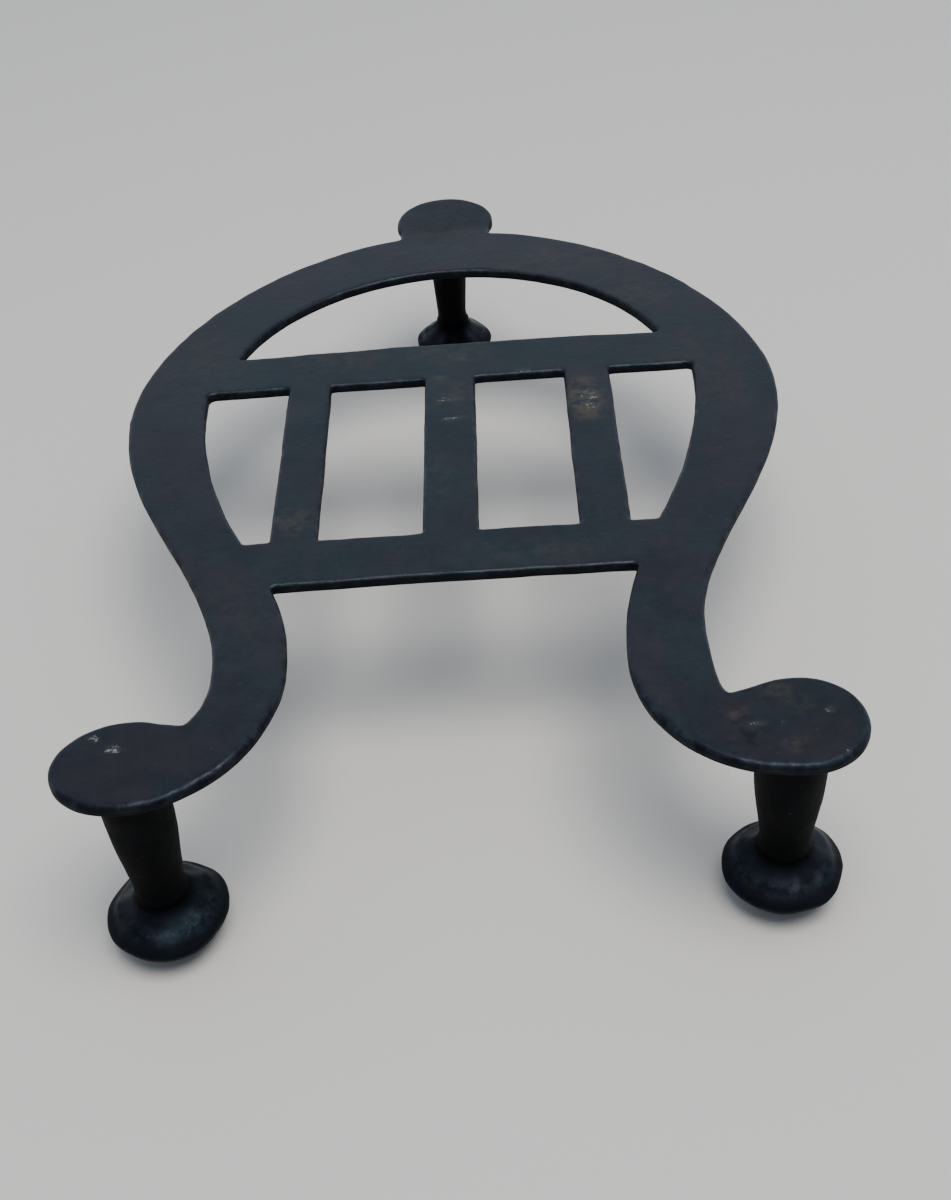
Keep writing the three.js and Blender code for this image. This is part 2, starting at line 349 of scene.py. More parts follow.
# Where the surface carries a brown haze or pale scuffs: (x, y, half width, half length, strength).
HAZE = [(30.9, 9, 6, 11, 1.0), (-0.2, 15, 6, 9, 0.35), (-0.5, 90, 11, 12, 0.25), (0, 31, 13, 5, 0.4),
        (33, 74, 26, 9, 0.35), (-33, -30, 6, 5, 0.5), (47, 55, 9, 9, 0.3), (12, -44, 26, 5, 0.15),
        (-58, 28, 13, 26, 0.2), (60, 18, 12, 22, 0.2), (-42, -60, 12, 18, 0.12), (-26, 31, 12, 5, 0.35),
        (58.4, -89.8, 3.5, 2.8, 0.55), (51.7, -94.0, 2.4, 1.8, 0.6), (59.6, -102.6, 3, 2.2, 0.5),
        (62, -93, 4, 3, 0.3)]
SCUFFS = [(-1, 12, 4.5, 1.4, 0.75), (0.5, 4.2, 4.5, 1.4, 0.8), (-3.5, 21.8, 3, 0.9, 0.6),
          (31.5, 8, 3.5, 9, 0.72), (-17.5, 32.6, 2.5, 1.4, 0.5), (1.2, 29, 6, 1.2, 0.35),
          (17.5, 21.9, 4, 0.5, 0.8), (45, 22.3, 3.5, 0.5, 0.8), (-65.5, -90.8, 1.5, 1.1, 1.05),
          (-61.4, -93.6, 2.5, 1.5, 1.05), (30.8, -35, 0.7, 0.7, 1.0), (67.8, -105, 1.1, 0.9, 1.0),
          (66.9, -94.8, 1.1, 1.3, 0.8), (57, -88, 3, 2, 0.45), (-36.5, -29, 3, 1.5, 0.5),
          (-12, 20, 1, 4, 0.3), (52.9, -96.9, 2.4, 1.2, 0.8), (58, -97.5, 0.9, 0.8, 1.0),
          (-3, -18, 4, 12, 0.25), (20, -46, 12, 4, 0.2)]

# Painted shade in the hammer strikes and, with the largest sizes, darker and duller lobes and tab, in the
# same form.
DARKENED_SPOTS = [(50.6, -95.9, 2.4, 1.4, 0.5), (52.0, -99.6, 1.6, 2.8, 0.6), (55.0, -98.4, 1.6, 1.2, 0.45),
          (48.8, -101.4, 3.0, 1.5, 0.42), (57.2, -91.6, 2.0, 1.2, 0.4), (61.5, -103.2, 2.6, 1.3, 0.42),
          (66.2, -92.6, 1.6, 2.4, 0.42), (54.6, -104.6, 2.2, 1.4, 0.38),
          (59, -96, 22, 18, 0.24), (-60, -98, 20, 18, 0.16), (0, 102, 18, 16, 0.26)]
# Edges that handling has rubbed bright, with a painted highlight, in the same form.
RUBBED_AND_HIGHLIT = [(17.5, 21.3, 4, 1.2, 1.0), (45, 21.5, 4, 1.2, 1.0)]

# A spot is at full strength up to the first share of its half size and gone from the second on.
SPOT_FADE = (0.45, 1.15)
SPOT_WANDER = 2.0
WANDER_SIZE = 2.6
WANDER_SEEDS = (31.1, 37.4)

# How the painted shade on the sides, and the wear with a painted highlight on the edges, fade inwards from
# the outline.
SIDE_PAINTED_SHADE = 0.75
PAINTED_SHADE_SHARE = 0.3
PAINTED_SHADE_START = 1.25
WEAR_AND_HIGHLIGHT_START = 1.2
WEAR_AND_HIGHLIGHT_WIDTH = 0.8
LOBE_WEAR_AND_HIGHLIGHT_WIDTH = 0.9
WEAR_AND_HIGHLIGHT_STRENGTH = 0.8
LOBE_WEAR_AND_HIGHLIGHT_STRENGTH = 0.2


def hammer_marks():
    """Shallow hammer marks, thickest on the lobes where the bar was spread, as (x, y, radius, depth)."""
    rng = np.random.default_rng(MARK_SEED)
    marks = []
    for place, count in LOBE_MARKS.items():
        cx, cy = axis_of(place + "_leg")
        for _ in range(count):
            angle = rng.uniform(0, 2 * math.pi)
            reach = LOBE_REACH * math.sqrt(rng.uniform(MIDDLE_SHARE, 1))
            marks.append((cx + reach * math.cos(angle), cy + reach * math.sin(angle),
                          rng.uniform(*LOBE_MARK_RADII), rng.uniform(*LOBE_MARK_DEPTHS)))
    marks += STRIKES
    low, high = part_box("rim")
    for _ in range(RIM_MARKS):
        marks.append((rng.uniform(low.x, high.x) / MM, rng.uniform(low.y, high.y) / MM,
                      rng.uniform(*RIM_MARK_RADII), rng.uniform(*RIM_MARK_DEPTHS)))
    return marks


MARKS = hammer_marks()


def dimple(x, y, cx, cy, radius, depth):
    """The height of one hammer mark here, zero outside it and negative inside."""
    share = math.hypot(x - cx, y - cy) / radius
    return -depth * (1 - share * share) ** 2 if share < 1 else 0.0


def top_relief(x, y):
    """How far the forged top stands above or below its nominal plane."""
    z = waves(x, y, TOP_WAVES) - TOP_SINK
    for cx, cy, radius, depth in MARKS:
        if abs(x - cx) < radius and abs(y - cy) < radius:
            z += dimple(x, y, cx, cy, radius, depth)
    return z


def edge_round(x, y):
    """How far the top edge is rounded here. The fronts of the lobes are rounded most."""
    lobe = ease(-y, LOBE_START, LOBE_ROUND_FULL)
    base = TOP_ROUND * (1 - lobe) + LOBE_ROUND * lobe
    return base * waves(x, y, ROUND_WAVES, 1.0)


def round_drop(gap, radius):
    """The drop of a rounded edge at a distance from the outline."""
    share = np.clip(1 - gap / radius, 0, 1)
    return radius * (1 - np.sqrt(1 - share * share))


def stain(x, y, spots, uneven):
    """The strength of the strongest spot here. uneven is how far the outlines of the spots wander."""
    total = 0.0
    shift_x, shift_y = (uneven * wobble(x, y, WANDER_SIZE, seed) for seed in WANDER_SEEDS)
    for cx, cy, half_x, half_y, strength in spots:
        far = math.hypot((x + shift_x - cx) / half_x, (y + shift_y - cy) / half_y)
        total = max(total, strength * (1 - ease(far, *SPOT_FADE)))
    return total


def stains(points, spots, uneven=0.0):
    """The strength of the spots at each point."""
    return np.array([stain(x, y, spots, uneven) for x, y in points])


# ---- the plate: one forged surface, cut into its separate pieces -------------------------------

GRID_SPACING = 1.4
LOBE_SPACING = 0.75
LOBE_REAR = -80
ROW_STEP = math.sqrt(0.75)
RING_SHARES = [0.0, 0.08, 0.3, 0.62, 1.0]
RING_MARGIN = 1.15
GRID_TO_RING = 0.4
GRID_TO_SEAM = 0.35
SEAM_MARGIN = 0.25
GRID_WELD = 0.004


def edge_rings(outlines):
    """Rings of points that follow each outline over the width of its rounding, and the edges of the rings."""
    points, edges = [], []
    for loop in outlines:
        reach = np.array([edge_round(x, y) for x, y in loop])[:, None]
        for share in RING_SHARES:
            first = len(points)
            points.extend(Vector(p) for p in loop + inwards(loop) * reach * share)
            edges.extend((first + i, first + (i + 1) % len(loop)) for i in range(len(loop)))
    return points, edges


def seam_steps(loops, samples):
    """Short steps along the loops, as pairs of points, where they are clear of the free outline's samples."""
    steps = []
    for loop in loops:
        for a, b in zip(loop, np.roll(loop, -1, axis=0)):
            count = max(1, int(np.linalg.norm(b - a) / GRID_SPACING))
            run = [a + (b - a) * i / count for i in range(count + 1)]
            middle = [(p + q) / 2 for p, q in zip(run, run[1:])]
            clear = distance(np.array(middle), samples) > SEAM_MARGIN
            steps += [(Vector(p), Vector(q)) for p, q, ok in zip(run, run[1:], clear) if ok]
    return steps


def point_grid(low, high, spacing):
    """A grid of points in even triangles."""
    columns = np.arange(low[0], high[0], spacing)
    rows = np.arange(low[1], high[1], spacing * ROW_STEP)
    return np.array([(x + (j % 2) * spacing / 2, y) for j, y in enumerate(rows) for x in columns])


def inner_points(free, loops, samples):
    """A grid of points in the metal, finer on the front lobes and clear of the rings and the seams."""
    low, high = samples.min(axis=0), samples.max(axis=0)
    coarse, fine = (point_grid(low, high, spacing) for spacing in (GRID_SPACING, LOBE_SPACING))
    grid = np.vstack([coarse[coarse[:, 1] > LOBE_REAR], fine[fine[:, 1] <= LOBE_REAR]])
    grid = grid[in_metal(grid, free)]
    reach = np.array([edge_round(x, y) for x, y in grid])
    grid = grid[distance(grid, samples) > reach * RING_MARGIN + GRID_SPACING * GRID_TO_RING]
    seams = np.vstack([loop_samples(loop) for loop in loops])
    return grid[distance(grid, seams) > GRID_SPACING * GRID_TO_SEAM]


def facing_up(flat, tris):
    """The triangles with their corners anticlockwise as seen from above."""
    a, b, c = flat[tris[:, 0]], flat[tris[:, 1]], flat[tris[:, 2]]
    turned_over = (b[:, 0] - a[:, 0]) * (c[:, 1] - a[:, 1]) - (b[:, 1] - a[:, 1]) * (c[:, 0] - a[:, 0]) < 0
    tris[turned_over] = tris[turned_over][:, ::-1]
    return tris


def owner_numbers(centres, loops):
    """The number of the last loop that each centre lies in, or of the nearest loop where it lies in none."""
    owner = np.full(len(centres), -1)
    for i, loop in enumerate(loops):
        owner[inside(centres, loop)] = i
    stray = owner < 0
    gaps = np.array([distance(centres[stray], loop_samples(loop)) for loop in loops])
    owner[stray] = np.argmin(gaps, axis=0)
    return owner


def build_plate():
    """The plate's points and triangles, the node of each triangle, and the points of its free outlines."""
    owners, loops = (list(column) for column in zip(*plate_loops()))
    free = [filed(smooth_outline(loop)) for loop in free_outlines(loops)]
    samples = np.vstack(free)
    owners += [place + "_leg" for place in LEG_PLACES]
    loops += [top_loops(place + "_leg")[0] for place in LEG_PLACES]

    points, edges = edge_rings(free)
    for step in seam_steps(loops, samples):
        points.extend(step)
        edges.append((len(points) - 2, len(points) - 1))
    points.extend(Vector(p) for p in inner_points(free, loops, samples))

    verts, _, tris, _, _, _ = delaunay_2d_cdt(points, edges, [], WHOLE_HULL, GRID_WELD, False)
    flat = np.array([tuple(v) for v in verts])
    tris = np.array([tuple(t) for t in tris if len(t) == 3])
    centres = flat[tris].mean(axis=1)
    keep = in_metal(centres, free)
    numbers = owner_numbers(centres[keep], loops)
    return flat, facing_up(flat, tris[keep]), [owners[i] for i in numbers], samples


def plate_heights(flat, gap, radius):
    """The heights of the plate's top and of its underside at each point."""
    relief = np.array([top_relief(x, y) for x, y in flat])
    under = np.array([waves(x, y, UNDER_WAVES) for x, y in flat])
    top = PLATE_TOP + relief - round_drop(gap, radius)
    bottom = PLATE_UNDERSIDE + UNDER_LIFT + under * np.clip(gap / UNDER_FADE, 0, 1)
    return top, bottom + round_drop(gap, BOTTOM_ROUND)


def plate_marks(flat, gap, radius):
    """How worn and highlit, hazed and scuffed the top is at each point, and where shade is painted on it. The
    underside is all painted shade.
    """
    lobe = np.array([ease(-y, LOBE_START, LOBE_WEAR_AND_HIGHLIGHT_FULL) for y in flat[:, 1]])
    # Painted shade on the sides and in the strikes, and wear with a painted highlight along the edges.
    side = SIDE_PAINTED_SHADE * np.clip(PAINTED_SHADE_START - gap / (radius * PAINTED_SHADE_SHARE), 0, 1)
    wear_and_highlight = np.clip(WEAR_AND_HIGHLIGHT_START - gap / (WEAR_AND_HIGHLIGHT_WIDTH + LOBE_WEAR_AND_HIGHLIGHT_WIDTH * lobe), 0, 1)
    wear_and_highlight = wear_and_highlight * np.maximum(WEAR_AND_HIGHLIGHT_STRENGTH + LOBE_WEAR_AND_HIGHLIGHT_STRENGTH * lobe, stains(flat, RUBBED_AND_HIGHLIT))
    on_top = {"wear_and_highlight": wear_and_highlight, "haze": stains(flat, HAZE, SPOT_WANDER), "scuff": stains(flat, SCUFFS),
              "painted_shade": np.maximum(side, stains(flat, DARKENED_SPOTS, SPOT_WANDER))}
    none = np.zeros(len(flat))
    # The underside is painted with shade all over.
    below = {"painted_shade": np.ones(len(flat))}
    return {key: np.concatenate([values, below.get(key, none)]) for key, values in on_top.items()}


def vertex_normals(coords, tris):
    """Smooth normals of the points, as the mean of their triangles' normals by area."""
    a, b, c = (coords[tris[:, k]] for k in range(3))
    face = np.cross(b - a, c - a)
    normals = np.zeros_like(coords)
    for k in range(3):
        np.add.at(normals, tris[:, k], face)
    return normals / np.maximum(np.linalg.norm(normals, axis=1), TINY)[:, None]


def plate_meshes():
    """One closed mesh for each piece of the plate, and one for the head of each leg's tenon."""
    flat, tris, owner, samples = build_plate()
    count = len(flat)
    free_edges = set(border([tuple(t) for t in tris]))
    gap = distance(flat, samples)
    gap[list({a for a, b in free_edges})] = 0
    radius = np.array([edge_round(x, y) for x, y in flat])
    coords = np.vstack([np.column_stack([flat, height]) for height in plate_heights(flat, gap, radius)])
    whole = [tuple(t) for t in tris] + [tuple(t[::-1] + count) for t in tris]
    whole += [(b, a, a + count) for a, b in free_edges]
    whole += [(b, a + count, b + count) for a, b in free_edges]
    normals = vertex_normals(coords, np.array(whole))
    marks = plate_marks(flat, gap, radius)
    pieces = {}
    for name in dict.fromkeys(owner):
        own = [tuple(t) for t, o in zip(tris, owner) if o == name]
        faces = own + [tuple(i + count for i in t[::-1]) for t in own]
        faces += [(b, a, a + count, b + count) for a, b in border(own)]
        pieces[name] = (coords, faces, normals, marks)
    return pieces


# ---- mesh helpers ------------------------------------------------------------------------------

def renumbered(faces):
    """The numbers of the points that the faces use, and the faces with those points counted from 0."""
    used = sorted({i for face in faces for i in face})
    index = {old: new for new, old in enumerate(used)}
    return used, [tuple(index[i] for i in face) for face in faces]


def new_object(name, coords, faces, normals, marks):
    """A smooth object. normals may be None, and marks become attributes of the points."""
    used, faces = renumbered(faces)
    mesh = bpy.data.meshes.new(name)
    mesh.from_pydata([tuple(coords[i] * MM) for i in used], [], faces)
    mesh.update()
    mesh.shade_smooth()
    for key, values in marks.items():
        attribute = mesh.attributes.new(key, "FLOAT", "POINT")
        attribute.data.foreach_set("value", np.array([values[i] for i in used], np.float32))
    if normals is not None:
        mesh.normals_split_custom_set_from_vertices([tuple(normals[i]) for i in used])
    obj = bpy.data.objects.new(name, mesh)
    bpy.context.scene.collection.objects.link(obj)
    return obj


def place_piece(obj, slot, material, *nodes):
    """Gives the object its material, parents it to the root body and hides the nodes that it replaces. slot
    is not used.
    """
    obj.data.materials.clear()
    obj.data.materials.append(material)
    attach(obj, "root")
    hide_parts(*nodes)


# ---- legs and feet -----------------------------------------------------------------------------

ROUND_STEPS = 120
LEVEL_GAP = 0.01
# The tenons, and the holes for them, are narrower than this radius, and the outer surfaces are wider.
TENON_LIMIT = 3.7

SHANK_SPACING = 0.6
NECK_FLARE = 0.7
NECK_FADE = 0.9
SHANK_GRAIN = 0.2
FINE_GRAIN = 0.04
FINE_STEP = 4
GRAIN_TURNS = 1.3
GRAIN_LENGTH = 9
GRAIN_RISE = 3
FLATS = 5
FLAT_DEPTH = 0.05
FLAT_TWIST = [(0.8, 14, 2.2)]
FLAT_RISE = (1, 9)

# The rivet's head, as (radius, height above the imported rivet's end), and how uneven it is.
RIVET = [(2.2, -0.45), (3.1, -0.2), (3.5, 0.1), (3.5, 0.6)]
RIVET_UNEVEN = 0.03

# The hole round the rivet under the foot, as (radius, z).
RIVET_HOLE = [(3.3, 1.25), (3.75, 1.1), (3.85, 0.35), (4.15, 0.0)]
SIDE_SPACING = 0.35
SHOULDER_SPACING = 0.1
CROWN_SPACING = 0.3
SOLE_EASE = 0.3
SOLE_EASE_RISE = 0.15
SHOULDER_SHARE = 9 / 13
ARRIS = 0.35
SHOULDER_WAVE = 0.8
SHOULDER_WAVE_TURNS = 1.7
# A foot's x divided by this is its own place in the noise.
FOOT_SLICE = 9
SHOULDER_WAVE_START = 0.5
# How fast the wear and painted highlight along the foot's shoulder fade above and below it.
SHOULDER_WEAR_AND_HIGHLIGHT = 0.8
# The neck's painted shade starts this far above the shoulder and is full this far below the top of the foot.
NECK_PAINTED_SHADE_GAPS = (1.0, 0.6)
# The side's painted shade starts and is full this far below the shoulder.
SIDE_PAINTED_SHADE_GAPS = (0.3, 1.6)
# The strength of the painted shade on the foot's side.
SIDE_PAINTED_SHADE_STRENGTH = 0.55
SOLE_REACH = 0.35
SOLE_REACH_RISE = 1.3
# The foot's uneven surface, as (depth, how often it changes round the foot, its length upwards).
FOOT_GRAIN = [(0.16, 2, 5), (0.06, 6, 2)]
FOOT_SINK = 0.05
FOOT_GRAIN_RISE = (0.2, 2.5)
# Dents in the feet: foot to (angle, height, half angle, half height, depth).
DENTS = {
    "right": [(-1.15, 8.4, 0.2, 1.0, 0.9), (-0.8, 9.6, 0.3, 1.2, 0.45), (-0.35, 6.5, 0.35, 2.4, 0.45),
              (-2.0, 9.0, 0.4, 1.2, 0.35), (-1.6, 9.8, 0.3, 0.8, 0.3)],
    "left": [(-1.35, 9.4, 0.5, 0.9, 0.35), (-2.4, 8.0, 0.6, 2.0, 0.4), (-0.5, 7.0, 0.5, 2.2, 0.35),
             (-1.9, 9.6, 0.3, 1.0, 0.3)],
    "rear": [(-0.7, 7.8, 0.5, 2.2, 0.3)],
}


def outer_profile(node, low, high):
    """The outer surface of a turned node between two heights, as rows of (radius, z)."""
    cx, cy = axis_of(node)
    levels = {}
    for vertex in frame["nodes"][node].data.vertices:
        x, y, z = vertex.co / MM
        level = round(z, 2)
        levels[level] = max(levels.get(level, 0), math.hypot(x - cx, y - cy))
    return np.array([(radius, z) for z, radius in sorted(levels.items())
                     if low - LEVEL_GAP <= z <= high + LEVEL_GAP and radius > TENON_LIMIT])


def turned(profile, cx, cy, forged):
    """A closed body from a profile of (radius, z). forged(angle, radius, z) gives the worked radius."""
    coords, faces = [], []
    for radius, z in profile:
        for k in range(ROUND_STEPS):
            angle = 2 * math.pi * k / ROUND_STEPS
            r = forged(angle, radius, z)
            coords.append((cx + r * math.cos(angle), cy + r * math.sin(angle), z))
    for j in range(len(profile) - 1):
        for k in range(ROUND_STEPS):
            a, b = j * ROUND_STEPS + k, j * ROUND_STEPS + (k + 1) % ROUND_STEPS
            faces.append((a, b, b + ROUND_STEPS, a + ROUND_STEPS))
    first = len(coords)
    coords += [(cx, cy, profile[0][1]), (cx, cy, profile[-1][1])]
    last_ring = (len(profile) - 1) * ROUND_STEPS
    for k in range(ROUND_STEPS):
        following = (k + 1) % ROUND_STEPS
        faces.append((first, following, k))
        faces.append((first + 1, last_ring + k, last_ring + following))
    return np.array(coords), faces


def shank_body(place):
    """The hammered shank from the top of the foot to the plate, with a flared neck and faint flats."""
    foot_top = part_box(place + "_foot")[1].z / MM
    cx, cy = axis_of(place + "_leg")

    def hammered(angle, radius, z):
        flare = NECK_FLARE * math.exp(-(z - foot_top) / NECK_FADE)
        around = Vector((math.cos(angle) * GRAIN_TURNS, math.sin(angle) * GRAIN_TURNS, z / GRAIN_LENGTH + cx))
        grain = SHANK_GRAIN * noise.noise(around) + FINE_GRAIN * noise.noise(around * FINE_STEP)
        grain *= ease(z, foot_top, foot_top + GRAIN_RISE)
        flats = FLAT_DEPTH * math.cos(angle * FLATS + waves(z, cx, FLAT_TWIST))
        flats *= ease(z, foot_top + FLAT_RISE[0], foot_top + FLAT_RISE[1])
        return radius + flare + grain + flats

    profile = spline(outer_profile(place + "_leg", foot_top, PLATE_UNDERSIDE), SHANK_SPACING)
    return turned(profile, cx, cy, hammered)


def rivet_body(place):
    """The hammered end of the leg's lower tenon, in the hole under the foot."""
    cx, cy = axis_of(place + "_leg")
    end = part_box(place + "_leg")[0].z / MM

    def uneven(angle, radius, z):
        return radius * (1 + RIVET_UNEVEN * wobble(angle, z, 1, cx))

    return turned([(radius, end + rise) for radius, rise in RIVET], cx, cy, uneven)


def leg_mesh(place, head):
    """The shank, the rivet and the tenon's head in the plate, which is given, as one mesh of three bodies."""
    coords, faces, normals, marks = head
    used, faces = renumbered(faces)
    coords, normals = coords[used], normals[used]
    marks = {key: values[used] for key, values in marks.items()}
    for body, body_faces in (shank_body(place), rivet_body(place)):
        tris = np.array([(f[0], f[k], f[k + 1]) for f in body_faces for k in range(1, len(f) - 1)])
        faces += [tuple(i + len(coords) for i in face) for face in body_faces]
        coords = np.vstack([coords, body])
        normals = np.vstack([normals, vertex_normals(body, tris)])
        marks = {key: np.concatenate([values, np.zeros(len(body))]) for key, values in marks.items()}
    return coords, faces, normals, marks


def foot_profile(run, corner, top):
    """The section as (radius, z): hole, sole, side, the shoulder at the run's corner, and crown."""
    below, above = run[corner - 1] - run[corner], run[corner + 1] - run[corner]
    before = run[corner] + ARRIS * below / np.linalg.norm(below)
    after = run[corner] + ARRIS * above / np.linalg.norm(above)
    sole = run[0, 0]
    side = np.vstack([(sole + SOLE_EASE, SOLE_EASE_RISE), run[1:corner], before])
    shoulder = np.vstack([before, (before + after) / 4 + run[corner] / 2, after])
    crown = np.vstack([after, run[corner + 1:]])
    profile = RIVET_HOLE + [(sole, 0.0)]
    for stretch, spacing in ((side, SIDE_SPACING), (shoulder, SHOULDER_SPACING), (crown, CROWN_SPACING)):
        profile += [tuple(p) for p in spline(stretch, spacing)[:-1]]
    return profile + [(crown[-1][0], top)]


def shoulder_lift(coords, cx, cy, shoulder, top):
    """How far each point is raised, so that the shoulder isn't quite level and the sole and top still are."""
    lifts = []
    for turn, z in zip(np.arctan2(coords[:, 1] - cy, coords[:, 0] - cx), coords[:, 2]):
        wave = noise.noise(Vector((SHOULDER_WAVE_TURNS * math.cos(turn), SHOULDER_WAVE_TURNS * math.sin(turn),
                                   cx / FOOT_SLICE)))
        near_shoulder = ease(z, SHOULDER_WAVE_START, shoulder) - ease(z, shoulder, top)
        lifts.append(SHOULDER_WAVE * wave * near_shoulder)
    return np.array(lifts)


def foot_painted_shade(z, shoulder, top):
    """Painted shade round the neck and on the side below the shoulder."""
    neck = ease(z, shoulder + NECK_PAINTED_SHADE_GAPS[0], top - NECK_PAINTED_SHADE_GAPS[1])
    side = ease(-z, -shoulder + SIDE_PAINTED_SHADE_GAPS[0], -shoulder + SIDE_PAINTED_SHADE_GAPS[1])
    return neck + SIDE_PAINTED_SHADE_STRENGTH * side


def foot_mesh(place):
    """A button with a sloped side, a narrow rounded shoulder, a coned crown and a hole under the rivet."""
    node = place + "_foot"
    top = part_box(node)[1].z / MM
    cx, cy = axis_of(node)
    run = outer_profile(node, 0.0, top)
    corner = int(np.argmin(np.abs(run[:, 1] - SHOULDER_SHARE * top)))
    sole, shoulder = run[0, 0], run[corner, 1]

    def worked(angle, radius, z):
        if radius < sole + SOLE_REACH and z < SOLE_REACH_RISE:
            return radius
        around = Vector((math.cos(angle), math.sin(angle), 0))
        grain = 0.0
        for depth, turns, length in FOOT_GRAIN:
            grain += depth * noise.noise(around * turns + Vector((0, 0, z / length + cx)))
        for at, height, half, tall, depth in DENTS[place]:
            turned_by = (angle - at + math.pi) % (2 * math.pi) - math.pi
            grain -= depth * math.exp(-(turned_by / half) ** 2 - ((z - height) / tall) ** 2)
        return radius + (grain - FOOT_SINK) * ease(z, *FOOT_GRAIN_RISE)

    coords, faces = turned(foot_profile(run, corner, top), cx, cy, worked)
    # A painted highlight, with some wear, along the shoulder, and painted shade round the neck and below the
    # shoulder.
    wear_and_highlight = np.exp(-np.abs(coords[:, 2] - shoulder) / SHOULDER_WEAR_AND_HIGHLIGHT)
    coords[:, 2] += shoulder_lift(coords, cx, cy, shoulder, top)
    painted_shade = np.array([foot_painted_shade(z, shoulder, top) for z in coords[:, 2]])
    none = np.zeros(len(coords))
    return coords, faces, None, {"wear_and_highlight": wear_and_highlight, "haze": none, "scuff": none, "painted_shade": painted_shade}


# ---- materials ---------------------------------------------------------------------------------

HAZE_COLOUR = (0.046, 0.039, 0.031)
HAZE_SHEEN = (0.88, 0.84, 0.76)
RUST_COLOUR = (0.085, 0.052, 0.032)
SMUDGE_COLOUR = (0.075, 0.068, 0.064)
SCUFF_COLOUR = (0.3, 0.29, 0.28)
DUST_COLOUR = (0.07, 0.07, 0.07)
# The edges' pale colour is partly wear and partly a painted highlight.
WEAR_AND_HIGHLIGHT_COLOUR = (0.045, 0.058, 0.07)
# Painted shade: a near-black colour and a dimmed reflection on the sides, the underside, the strikes and the
# feet.
PAINTED_SHADE_COLOUR = (0.002, 0.0026, 0.004)
PAINTED_SHADE_SHEEN = (0.06, 0.075, 0.11)
DULL_SHEEN = (0.5, 0.55, 0.62)
EDGE_DIM = (0.12, 0.22, 0.42)
EDGE_GLINT = (0.55, 0.76, 0.98)
HOLLOW_SHADE = 0.4
ROUGHNESS_OFFSET = -0.05
BUMP_STRENGTH = 0.5
BUMP_HEIGHT_M = 0.00006
SECOND_SHIFT = 0.7

# Soft-edged patches of noise: patch size, detail, roughness, seed, and the two noise values that the edge
# lies between.
PATTERNS = {
    "broad": (24, 4, 0.6, 0.3, 0.4, 0.6),
    "middle": (7, 6, 0.62, 1.7, 0.36, 0.66),
    "fine": (1.6, 5, 0.65, 2.9, 0.35, 0.7),
    "pits": (0.8, 3, 0.6, 4.1, 0.3, 0.42),
    "rust": (3.2, 8, 0.75, 6.3, 0.42, 0.57),
    "orange": (1.7, 5, 0.7, 8.8, 0.56, 0.66),
    "smudge": (2.6, 5, 0.65, 9.9, 0.42, 0.62),
    "dust": (0.9, 2, 0.5, 12.2, 0.7, 0.78),
    "wear_and_highlight": (3.5, 6, 0.7, 14.6, 0.42, 0.62),
    "sheen": (13, 4, 0.6, 18.4, 0.43, 0.57),
    "glint": (1.5, 5, 0.7, 21.7, 0.5, 0.66),
}
# Plain noise: patch size, detail, roughness and seed, and for the chips a stretch.
CHIPS = (1.1, 5, 0.7, 11.3, (1, 1.6, 1))
# The noise values that a chip's edge lies between, and what a full scuff adds to the noise.
CHIPS_EDGE = (0.78, 0.86)
CHIPS_MORE = 0.3
BUMPS = (3.2, 4, 0.55, 16.1)

# dark, light and tint are base colours, and cool and warm are colours of the sheen.
FINISHES = {
    "plate_iron": {"dark": (0.0025, 0.0035, 0.006), "light": (0.006, 0.007, 0.011),
                   "tint": (0.008, 0.0075, 0.0115), "cool": (0.7, 0.88, 0.98),
                   "warm": (0.96, 0.86, 0.99), "roughness": 0.34, "specular": 0.5},
    "bar_iron": {"dark": (0.0025, 0.004, 0.0065), "light": (0.006, 0.0085, 0.0115),
                 "tint": (0.007, 0.0085, 0.0115), "cool": (0.62, 0.89, 0.98),
                 "warm": (0.88, 0.88, 1.0), "roughness": 0.34, "specular": 0.5},
    # The shank's iron is darker and far less shiny than the rest: painted shade for its place under the
    # plate.
    "shaded_shank_iron": {"dark": (0.0015, 0.0015, 0.0017), "light": (0.003, 0.003, 0.0034),
                   "tint": (0.003, 0.0028, 0.003), "cool": (0.72, 0.9, 1.0),
                   "warm": (0.86, 0.86, 1.0), "roughness": 0.65, "specular": 0.07},
    "foot_iron": {"dark": (0.003, 0.004, 0.006), "light": (0.005, 0.0075, 0.011),
                  "tint": (0.006, 0.007, 0.011), "cool": (0.5, 0.8, 1.0),
                  "warm": (0.7, 0.74, 1.0), "roughness": 0.42, "specular": 0.22},
}


def add_node(tree, kind, **values):
    """A node with its inputs and settings by name. An input given a socket is linked, otherwise it is set."""
    made = tree.nodes.new(kind)
    for key, value in values.items():
        if hasattr(made, key):
            setattr(made, key, value)
            continue
        name = key.replace("_", " ")
        socket = made.inputs[int(key[1:])] if key[0] == "i" and key[1:].isdigit() else made.inputs[name]
        if isinstance(value, bpy.types.NodeSocket):
            tree.links.new(value, socket)
        else:
            socket.default_value = value
    return made


